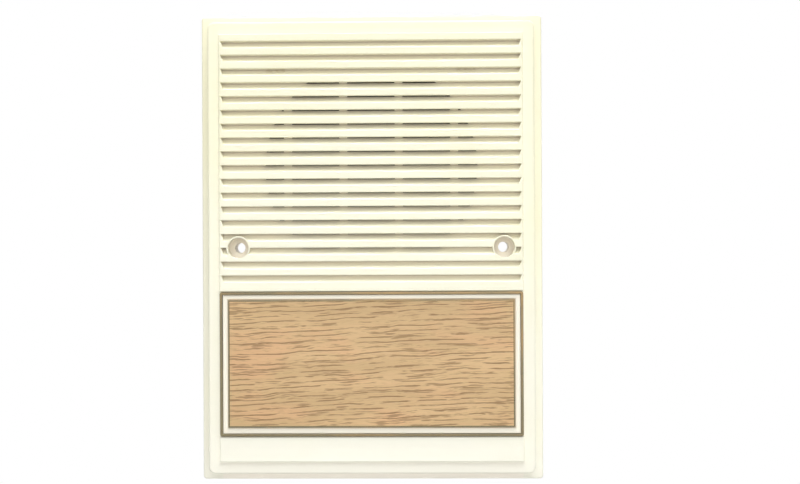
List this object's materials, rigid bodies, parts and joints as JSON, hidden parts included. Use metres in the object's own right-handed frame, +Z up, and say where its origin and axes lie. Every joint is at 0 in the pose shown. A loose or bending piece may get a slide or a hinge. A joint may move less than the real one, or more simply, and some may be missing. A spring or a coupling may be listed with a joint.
{
  "type": "wall intercom speaker station",
  "caption": "Flush wall intercom speaker station: louvred cream face plate with a wood-faced insert, a round loudspeaker behind the louvres and a wiring block.",
  "frame": {"origin": "on the wall plane, midway between the two fixing screw holes", "axes": "+Z up, +X to the right of a person who faces the station, -Y out of the wall towards that person"},
  "size_m": [0.1492, 0.0473, 0.2032],
  "materials": {
    "cream_plastic": "satin moulded cream plastic",
    "gilt_metal": "worn gilt",
    "woodgrain": "printed oak grain, satin",
    "card": "pressed grey card",
    "plated_steel": "zinc plated, dull",
    "black_cloth": "doped cloth",
    "cone_paper": "grey-black paper",
    "brown_card": "phenolic card",
    "copper": "enamelled and bare copper",
    "amber_cloth": "resin-stiffened cloth",
    "ferrite": "dark ferrite",
    "brass": "bright",
    "tinned_brass": "tinned",
    "zinc_steel": "zinc plated",
    "black_plastic": "moulded phenolic",
    "wire_insulation": "soft vinyl"
  },
  "bodies": {
    "station": {"front_cover": "cream_plastic", "insert_tray": "cream_plastic", "gold_trim": "gilt_metal", "woodgrain_plate": "woodgrain", "speaker_gasket": "card", "speaker_basket": "plated_steel", "cone_surround": "black_cloth", "spider": "amber_cloth", "top_plate": "plated_steel", "magnet": "ferrite", "back_plate": "plated_steel", "pole_piece": "plated_steel", "tag_board": "brown_card", "tag_rivet": "brass", "solder_lugs": "tinned_brass", "lug_rivets": "brass", "tinsel_leads": "copper", "speaker_screws": "zinc_steel", "speaker_washers": "zinc_steel", "terminal_block": "black_plastic", "terminal_clamps": "zinc_steel", "terminal_screws": "zinc_steel", "block_screws": "zinc_steel", "lead_wires": "wire_insulation", "bare_wire_ends": "copper"},
    "cone_assembly": {"speaker_cone": "cone_paper", "dust_cap": "cone_paper", "voice_coil_former": "brown_card", "voice_coil_winding": "copper"}
  },
  "joints": [
    {"name": "cone_travel", "type": "slide", "parent": "station", "child": "cone_assembly", "axis": [0, -1, 0], "range_m": [-0.001, 0.001], "stiffness_N_per_m": 1000, "deforming": ["cone_surround", "spider", "tinsel_leads"]}
  ]
}
